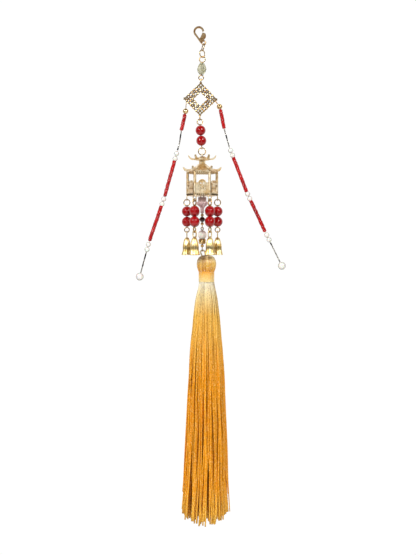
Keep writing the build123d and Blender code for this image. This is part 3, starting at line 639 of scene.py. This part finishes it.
@dataclass
class Fretwork:
    """The cast square's fine work: bars set back in the CAD lattice, and a grain at each crossing."""

    centre: Vector = field(default_factory=lambda: Vector((0.735 * MM, 0, -39.2 * MM)))
    lean: float = -1.6  # degrees
    outer: float = 6.54 * MM
    middle: float = 4.94 * MM
    inner: float = 3.34 * MM
    bar: float = 0.72 * MM
    depth: float = 1.8 * MM
    grain: float = 0.62 * MM
    face: float = 0.9 * MM  # from the middle plane out to the grains
    short_bars: float = 0.67  # where the short bars stand, as a share of the inner bar
    crossing: float = 0.33  # where the inner grains stand, as a share of the inner bar
    edge: float = 0.12 * MM

    def build(self) -> None:
        """Makes the bars and grains on all four sides."""
        work = Piece("fret_filigree", "connector", "antique_gold", GOLD)
        upright = Matrix.Translation(self.centre) @ Matrix.Rotation(-math.radians(45 + self.lean), 4, "Y")
        low = (self.middle - self.inner) / 2
        bars = [
            ((0, self.outer), (2 * self.middle, self.bar)),
            ((0, self.middle), (2 * self.inner, self.bar)),
            ((0, self.outer - low / 1.2), (self.bar, 2 * low)),
            ((self.inner, self.middle), (self.bar, self.outer - self.inner)),
            ((-self.inner, self.middle), (self.bar, self.outer - self.inner)),
            ((self.inner * self.short_bars, self.inner + low), (self.bar, 2 * low)),
            ((-self.inner * self.short_bars, self.inner + low), (self.bar, 2 * low)),
        ]
        columns = (-1, -self.crossing, self.crossing, 1)
        rows = (self.inner, self.middle, self.outer)
        grains = [(u * self.inner, v) for u in columns for v in rows]
        for side in range(4):
            turn = upright @ Matrix.Rotation(math.radians(90 * side), 4, "Y")
            for (u, v), (wide, high) in bars:
                size = Matrix.Diagonal((wide, self.depth, high, 1))
                bmesh.ops.create_cube(work.mesh, size=1.0, matrix=turn @ Matrix.Translation((u, 0, v)) @ size)
        soften(work.mesh, self.edge)
        for side in range(4):
            turn = upright @ Matrix.Rotation(math.radians(90 * side), 4, "Y")
            for u, v in grains:
                for y in (-self.face, self.face):
                    place = turn @ Matrix.Translation((u, y, v))
                    bmesh.ops.create_icosphere(work.mesh, subdivisions=2, radius=self.grain, matrix=place)
        work.finish_piece(smooth=False)


@dataclass
class Strand:
    """One beaded side strand."""

    side: Side
    seed_radius: float = 1.16 * MM
    seed_half: float = 0.66 * MM
    seed: int = 5

    def seeds(self, body: str) -> None:
        """Strings slightly crooked beads along the CAD seed beads, one on each loose patch of their mesh.

        Args:
            body: the body that the beads hang on, which also names their CAD node.
        """
        draw = random.Random(self.seed + len(body))
        source = bmesh.new()
        source.from_mesh(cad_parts[f"{body}_seeds"].data)
        waiting = set(source.verts)
        middles = []
        while waiting:
            island = {waiting.pop()}
            edge = set(island)
            while edge:
                edge = {e.other_vert(v) for v in edge for e in v.link_edges} - island
                island |= edge
            waiting -= island
            middles.append(sum((v.co for v in island), Vector()) / len(island))
        source.free()
        middles.sort(key=lambda place: -place.z)
        beads = Piece(f"{body}_seed_beads", body, "seed_glass", SEED_RED)
        size = Matrix.Diagonal((self.seed_radius, self.seed_radius, self.seed_half, 1))
        shape = bmesh.new()
        bmesh.ops.create_uvsphere(shape, u_segments=12, v_segments=7, radius=1.0, matrix=size)
        bead = bpy.data.meshes.new("bead")
        shape.to_mesh(bead)
        shape.free()
        for i, place in enumerate(middles):
            near = middles[i - 1] if i else middles[1]
            way = (near - place).normalized()
            lean = Matrix.Rotation(math.radians(draw.uniform(-9, 9)), 4, "Y")
            turn = way.to_track_quat("Z", "Y").to_matrix().to_4x4()
            copy = bead.copy()
            swell = Matrix.Scale(draw.uniform(0.88, 1.03), 4)
            aside = Vector((draw.uniform(-0.14, 0.14) * MM, 0, 0))
            copy.transform(Matrix.Translation(place + aside) @ turn @ lean @ swell)
            beads.mesh.from_mesh(copy)
            bpy.data.meshes.remove(copy)
        bpy.data.meshes.remove(bead)
        beads.finish_piece(f"{body}_seeds")

    def build(self) -> None:
        """Dresses the strand's beads, tubes, pearls, crimp and thread."""
        name = self.side.value
        dress([f"{name}_crimp"], GOLD)
        for level in ("upper", "lower"):
            self.seeds(f"{name}_{level}")
        dress([f"{name}_upper_tubes", f"{name}_lower_tube"], SILVER)
        dress([f"{name}_lower_pearls"], PEARL)
        dress([f"{name}_upper_thread", f"{name}_lower_thread"], SKIRT_SILK)


@dataclass
class Lantern:
    """The cast palace lantern, with the small dentils that run under its eave and round its foot."""

    faces: int = 6
    foot_radius: float = 9.4 * MM
    foot_top: float = -23.05 * MM
    beam_radius: float = 9.1 * MM
    beam_top: float = -10.15 * MM
    tooth: tuple[float, float, float] = (0.5 * MM, 0.45 * MM, 0.85 * MM)
    teeth: int = 8
    margin: float = 0.7 * MM  # from the last block to the hexagon's corner
    hang: float = 0.3 * MM  # from the ring's lowest point up to the hanging point
    edge: float = 0.08 * MM

    def dentils(self, name: str, centre: Vector, radius: float, top: float, finish: Finish) -> None:
        """Sets a row of small blocks along each side of the hexagon.

        Args:
            name: the piece's name.
            centre: the lantern's hanging point.
            radius: the hexagon's corner radius.
            top: the height of the blocks' tops below the hanging point.
            finish: the blocks' finish.
        """
        row = Piece(name, "lantern", "antique_gold", finish)
        apothem = radius * math.cos(math.pi / self.faces)
        half = radius / 2 - self.margin
        size = Matrix.Diagonal((*self.tooth, 1))
        for face in range(self.faces):
            outward = math.radians(60 * face + 30)
            out = Vector((math.cos(outward), math.sin(outward), 0))
            along = Vector((-out.y, out.x, 0))
            turn = Matrix.Rotation(outward - math.pi / 2, 4, "Z")
            for n in range(self.teeth):
                offset = -half + 2 * half * n / (self.teeth - 1)
                place = centre + out * apothem + along * offset + Vector((0, 0, top - self.tooth[2] / 2))
                block = Matrix.Translation(place) @ turn @ size
                bmesh.ops.create_cube(row.mesh, size=1.0, matrix=block)
        soften(row.mesh, self.edge)
        row.finish_piece(smooth=False)

    def build(self) -> None:
        """Dresses the casting and adds its two rows of dentils."""
        dress(["palace_lantern"], ROOF_GOLD)
        ring_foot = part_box("lantern_ring")[0][2]
        centre = Vector((middle_of("palace_lantern").x, 0, ring_foot + self.hang))
        # The foot's dentils are near black: painted shade in the recess round the foot, with blackened
        # casting.
        self.dentils("foot_dentils", centre, self.foot_radius, self.foot_top, BLACKENED_SHADED_CAST)
        self.dentils("eave_dentils", centre, self.beam_radius, self.beam_top, GOLD)


@dataclass
class Dangle:
    """A pair of red beads on a pin, and the fluted bell under it."""

    number: int
    petals: int = 8
    wall: float = 0.35  # in millimetres, as the outline is
    crown: float = 1.2  # radius inside which the wall lies flat, in millimetres
    loop_radius: float = 1.1 * MM
    loop_wire: float = 0.3 * MM

    def build(self) -> None:
        """Dresses the pin and beads and makes the bell."""
        dress([f"dangle_{self.number}_pin"], WIRE_GOLD)
        dress([f"dangle_{self.number}_beads"], RED)
        node_name = f"dangle_{self.number}_bell"
        centre = top_of(node_name)
        bell = Piece(f"bell_{self.number}", f"bell_{self.number}", "antique_gold", BELL_GOLD)
        out = [
            (0.0, -3.9),
            (0.5, -3.95),
            (1.0, -4.2),
            (1.55, -5.2),
            (2.0, -6.7),
            (2.35, -8.4),
            (2.45, -9.6),
            (2.4, -10.6),
            (2.5, -11.6),
            (2.8, -12.8),
            (3.15, -14.0),
            (3.2, -14.25),
        ]
        lining = [(max(r - self.wall, 0.0), z + (-self.wall if r < self.crown else 0)) for r, z in out[::-1]]
        profile = [(r * MM, z * MM) for r, z in out + lining]
        bell.lathe(centre, profile, 64, False, self.petals, 0.16, -4.5 * MM, -12.0 * MM)
        up = Vector((0, 0, 1))
        angle = math.radians(60 * (self.number - 1) + 90)
        across = Vector((math.cos(angle), math.sin(angle), 0))
        top = centre + up * -1.4 * MM
        foot = top + up * -1.5 * MM
        loop = arc(top, across, up, self.loop_radius, 0, 180, 12)
        loop += arc(foot, across, up, self.loop_radius, 180, 360, 12)
        bell.tube(loop, self.loop_wire, 8, True)
        bell.finish_piece(node_name)


@dataclass
class CentreDrop:
    """The rose flower bead, its gold balls, the garnet and the petal pearl."""

    petals: int = 6
    pearl_radius: float = 2.62 * MM
    pearl_half: float = 2.75 * MM  # half of the pearl's height
    bore: float = 0.02 * MM
    steps: int = 20

    def build(self) -> None:
        """Makes the flower bead and the petal pearl and dresses the rest."""
        dress(["spacer_balls", "pearl_cap"], GOLD)
        dress(["garnet_bead"], GARNET)
        top = top_of("flower_bead")
        flower = Piece("flower_bead_petals", "centre_drop", "pink_glass", PINK)
        outline = [
            (2.0, -0.1),
            (2.3, 0.0),
            (2.45, -0.4),
            (2.45, -2.4),
            (2.9, -2.7),
            (3.3, -3.0),
            (3.45, -3.5),
            (3.2, -4.2),
            (2.4, -5.0),
            (1.6, -5.6),
            (1.15, -6.3),
            (1.0, -9.4),
            (0.4, -9.45),
            (0.4, -3.4),
            (1.7, -3.2),
            (2.0, -2.6),
        ]
        flower.lathe(
            top, [(r * MM, z * MM) for r, z in outline], 72, True, self.petals, 0.22, -2.4 * MM, -3.4 * MM
        )
        flower.finish_piece("flower_bead")
        pearl = Piece("petal_pearl_bead", "pearl_link", "pearl_lustre", BLUSH_PEARL)
        middle = middle_of("petal_pearl")
        angles = [math.pi * i / self.steps for i in range(self.steps + 1)]
        ball = [(self.pearl_radius * math.sin(a) + self.bore, self.pearl_half * math.cos(a)) for a in angles]
        pearl.lathe(middle, ball, 60, False, 5, 0.1, 2.6 * MM, 0.4 * MM)
        pearl.finish_piece("petal_pearl")


@dataclass
class Tassel:
    """The silk tassel: its cord, its head of looped thread, the wrap round its neck and the skirt."""

    seed: int = 11
    x: float = 4.3 * MM
    head_top: float = -131.0 * MM
    wrap_top: float = -140.4 * MM
    wrap_foot: float = -146.5 * MM
    foot: float = -287.5 * MM
    wrap_turns: int = 11
    head_threads: int = 46
    strays: int = 9
    layers: tuple[tuple[int, float], ...] = ((92, 1.0), (66, 0.88), (44, 0.7))  # threads and depth of each
    stations: int = 34  # points along each thread
    fringe_drop: float = 6.5 * MM  # how much longer the middle threads hang
    inset: float = 0.45 * MM  # from the skirt's outline in to its outer threads
    stray_radius: float = 0.3 * MM
    bend_top: float = -147 * MM
    bend_foot: float = -156 * MM

    def centre(self, z: float) -> Vector:
        """The middle of the tassel at this height: it drifts a little to the left on its way down."""
        share = (self.wrap_foot - z) / (self.wrap_foot - self.foot)
        return Vector((self.x - 1.0 * MM * max(share, 0) ** 2, 0, z))

    @staticmethod
    def radius_at(z: float) -> float:
        """The skirt's outer radius at this height, read between the widths of its table."""
        table = [
            (-140, 4.2),
            (-146, 4.3),
            (-149, 4.7),
            (-151.5, 5.4),
            (-157, 6.6),
            (-166, 7.7),
            (-175, 8.6),
            (-184, 9.5),
            (-193, 10.1),
            (-210, 10.9),
            (-228, 11.5),
            (-245, 12.2),
            (-263, 12.7),
            (-281, 14.0),
            (-289, 14.2),
        ]
        height = z / MM
        for (top, r1), (foot, r2) in zip(table, table[1:]):
            if foot <= height <= top:
                return (r1 + (r2 - r1) * (top - height) / (top - foot)) * MM
        return table[-1][1] * MM

    def skirt(self) -> None:
        """Runs the skirt's twisted threads from the wrap to their loose ends, over a dark core of painted
        shade.
        """
        draw = random.Random(self.seed)
        skirt = Piece("skirt_threads", "tassel", "tassel_silk", SKIRT_SILK)
        for count, depth in self.layers:
            for n in range(count):
                angle = math.tau * (n + draw.uniform(-0.35, 0.35)) / count
                share = depth * draw.uniform(0.95, 1.0)
                # Inner layers are darker: painted shade inside the skirt, added to each thread's own random
                # tone.
                tone_and_shade = draw.uniform(-0.15, 0.25) + (1 - depth) * 0.8
                fringe = self.fringe_drop * (1 - abs(math.cos(angle)) ** 2 * share * share)
                end = self.foot + self.fringe_drop - fringe + draw.uniform(-1.6, 1.6) * MM
                sway, phase = draw.uniform(0.1, 0.55) * MM, draw.uniform(0, math.tau)
                drift = draw.uniform(-0.16, 0.16)
                wander = draw.uniform(14, 30) * MM
                route = []
                radii = []
                for i in range(self.stations):
                    t = i / (self.stations - 1)
                    z = self.wrap_foot + 0.6 * MM + (end - self.wrap_foot) * t
                    a = angle + drift * t * t + (0.03 + 0.06 * t) * math.sin(z / wander + phase)
                    out = self.radius_at(z) * share - self.inset + sway * math.sin(z / (0.6 * wander) + phase)
                    route.append(self.centre(z) + Vector((math.cos(a) * out, math.sin(a) * out, 0)))
                    radii.append((0.26 + 0.18 * min(t * 4, 1)) * MM)
                skirt.tube(route, radii, 5, False, tone_and_shade)
        for n in range(self.strays):
            angle = draw.uniform(-0.5, 0.5) + (math.pi if n % 3 == 2 else 0)
            top, end = draw.uniform(-205, -185) * MM, draw.uniform(-284, -262) * MM
            lean = draw.uniform(0.4, 1.5) * MM
            route = []
            for i in range(16):
                t = i / 15
                z = top + (end - top) * t
                out = self.radius_at(z) - 0.5 * MM + 0.8 * lean * math.sin(math.pi * min(t * 1.4, 1) / 2)
                a = angle + 0.05 * math.sin(6 * t + n)
                route.append(self.centre(z) + Vector((math.cos(a) * out, math.sin(a) * out, 0)))
            skirt.tube(route, self.stray_radius, 5, False, -0.1)
        skirt.finish_piece(
            "tassel_skirt",
            blend=("skirt", (self.x, 0, self.bend_top), (self.x, 0, self.bend_foot)),
        )
        # The core is painted shade: a dark solid inside the skirt, where the threads shade each other.
        core = Piece("skirt_core", "skirt", "tassel_silk", CORE_SILK)
        heights = [-149, -157, -175, -200, -230, -260, -278]
        outline = [(0.0, heights[0] * MM)]
        outline += [(self.radius_at(z * MM) * 0.6, z * MM) for z in heights]
        outline += [(0.0, heights[-1] * MM)]
        core.lathe(Vector((self.x - 0.3 * MM, 0, 0)), outline, 40)
        core.finish_piece()

    def head(self) -> None:
        """Lays the head's looped threads over a smooth core and winds the wrap under them."""
        draw = random.Random(self.seed + 1)
        head = Piece("head_threads", "tassel", "tassel_silk", HEAD_SILK)
        outline = [
            (0.9, 0.0),
            (2.6, -0.25),
            (4.2, -1.2),
            (5.1, -2.8),
            (5.35, -4.6),
            (5.2, -6.6),
            (4.6, -8.6),
            (4.1, -9.6),
        ]
        for n in range(self.head_threads):
            angle = math.tau * (n + draw.uniform(-0.3, 0.3)) / self.head_threads
            lift = draw.uniform(-0.15, 0.12)
            twist = draw.uniform(-0.12, 0.12)
            route = []
            for i, (r, z) in enumerate(outline):
                a = angle + twist * i / len(outline)
                out = (r + lift * min(i, 1)) * MM
                height = self.head_top + (z - 0.2) * MM
                route.append(Vector((self.x + math.cos(a) * out, math.sin(a) * out, height)))
            head.tube(route, 0.42 * MM, 6, False, draw.uniform(-0.2, 0.55))
        under = [((r - 0.15) * MM, (z - 0.35) * MM) for r, z in outline]
        under = [(0.0, -0.3 * MM), *under, (0.0, -9.9 * MM)]
        head.lathe(Vector((self.x, 0, self.head_top)), under, 40)
        head.finish_piece("tassel_head")
        wrap = Piece("wrap_turns", "tassel", "tassel_silk", HEAD_SILK)
        pitch = (self.wrap_top - self.wrap_foot) / self.wrap_turns
        route = []
        per_turn = 40
        for i in range(self.wrap_turns * per_turn + 1):
            a = math.tau * i / per_turn
            z = self.wrap_top - pitch * i / per_turn
            route.append(Vector((self.x + math.cos(a) * 4.4 * MM, math.sin(a) * 4.4 * MM, z)))
        wrap.tube(route, 0.31 * MM, 6)
        wrap.lathe(
            Vector((self.x, 0, 0)),
            [
                (0.0, self.wrap_top + 0.8 * MM),
                (4.25 * MM, self.wrap_top + 0.8 * MM),
                (4.35 * MM, self.wrap_foot - 0.3 * MM),
                (0.0, self.wrap_foot - 0.3 * MM),
            ],
            48,
        )
        wrap.finish_piece("neck_wrap")

    def build(self) -> None:
        """Makes the tassel from its cord down."""
        dress(["tassel_cord"], HEAD_SILK)
        self.head()
        self.skirt()


# ---------------------------------------------------------------- studio


@dataclass
class Studio:
    """The pale floor, the soft lights and the camera."""

    distance: float = 0.906
    target: Vector = field(default_factory=lambda: Vector((5.2 * MM, 0, -144 * MM)))
    lens: float = 100.0
    floor_z: float = -0.42
    floor_radius: float = 0.5
    front: float = 0.09  # the world's strength in front of the charm
    back: float = 1.02

    def floor(self) -> None:
        """Makes the round paper-covered floor that the charm hangs over."""
        mesh = bmesh.new()
        level = Matrix.Translation((0, 0, self.floor_z))
        bmesh.ops.create_circle(mesh, cap_ends=True, segments=96, radius=self.floor_radius, matrix=level)
        bmesh.ops.recalc_face_normals(mesh, faces=mesh.faces)
        data = bpy.data.meshes.new("studio_floor")
        mesh.to_mesh(data)
        mesh.free()
        obj = bpy.data.objects.new("studio_floor", data)
        bpy.context.scene.collection.objects.link(obj)
        material = bpy.data.materials.new("pale_paper_floor")
        material.use_nodes = True
        tree = material.node_tree
        shader = tree.nodes["Principled BSDF"]
        place = node(tree, "ShaderNodeTexCoord").outputs["Object"]
        fibre = node(tree, "ShaderNodeTexNoise", {"Vector": place, "Scale": 40.0})
        ramp = node(tree, "ShaderNodeValToRGB", {"Fac": fibre.outputs["Fac"]})
        tree.links.new(shade(ramp, [(0.3, "dedede"), (0.7, "e4e4e4")]), shader.inputs["Base Color"])
        shader.inputs["Roughness"].default_value = 0.9
        data.materials.append(material)

    def surround(self) -> None:
        """Makes the world: white behind the charm and dim in front, so that dark glass stays dark."""
        world = bpy.data.worlds.new("studio_world")
        world.use_nodes = True
        tree = world.node_tree
        way = node(tree, "ShaderNodeTexCoord").outputs["Generated"]
        depth = node(tree, "ShaderNodeSeparateXYZ", {0: way}).outputs["Y"]
        strength = node(
            tree,
            "ShaderNodeMapRange",
            {"Value": depth, "From Min": -0.35, "From Max": 0.45, "To Min": self.front, "To Max": self.back},
        )
        background = tree.nodes["Background"]
        background.inputs["Color"].default_value = (1, 1, 1, 1)
        tree.links.new(strength.outputs["Result"], background.inputs["Strength"])
        bpy.context.scene.world = world

    def light(self, name: str, place: tuple[float, float, float], size: float, power: float) -> None:
        """Adds a square softbox that faces the charm."""
        lamp = bpy.data.lights.new(name, "AREA")
        lamp.shape = "SQUARE"
        lamp.size = size
        lamp.energy = power
        obj = bpy.data.objects.new(name, lamp)
        obj.location = place
        obj.rotation_euler = (self.target - Vector(place)).to_track_quat("-Z", "Y").to_euler()
        bpy.context.scene.collection.objects.link(obj)

    def build(self) -> None:
        """Sets up the floor, lights, world and camera."""
        self.floor()
        self.surround()
        self.light("left_softbox", (-0.5, -0.7, 0.3), 0.26, 5.7)
        self.light("right_softbox", (0.45, -0.75, 0.3), 0.26, 4.7)
        self.light("front_card", (0.0, -1.3, -0.35), 0.45, 1.3)
        data = bpy.data.cameras.new("front_camera")
        data.lens = self.lens
        data.sensor_width = 36.0
        data.clip_start = 0.01
        camera = bpy.data.objects.new("front_camera", data)
        camera.location = self.target + Vector((0, -self.distance, 0))
        camera.rotation_euler = (math.radians(90), 0, 0)
        bpy.context.scene.collection.objects.link(camera)
        bpy.context.scene.camera = camera
        bpy.context.scene.view_settings.view_transform = "Standard"


def main() -> None:
    """Builds the studio and the charm in order."""
    logging.basicConfig(level=logging.INFO, format="%(message)s")
    Studio().build()
    Clasp().build()
    Fretwork().build()
    for side in Side:
        Strand(side).build()
    Lantern().build()
    for number in range(1, 7):
        Dangle(number).build()
    CentreDrop().build()
    Tassel().build()


if __name__ == "__main__":
    main()
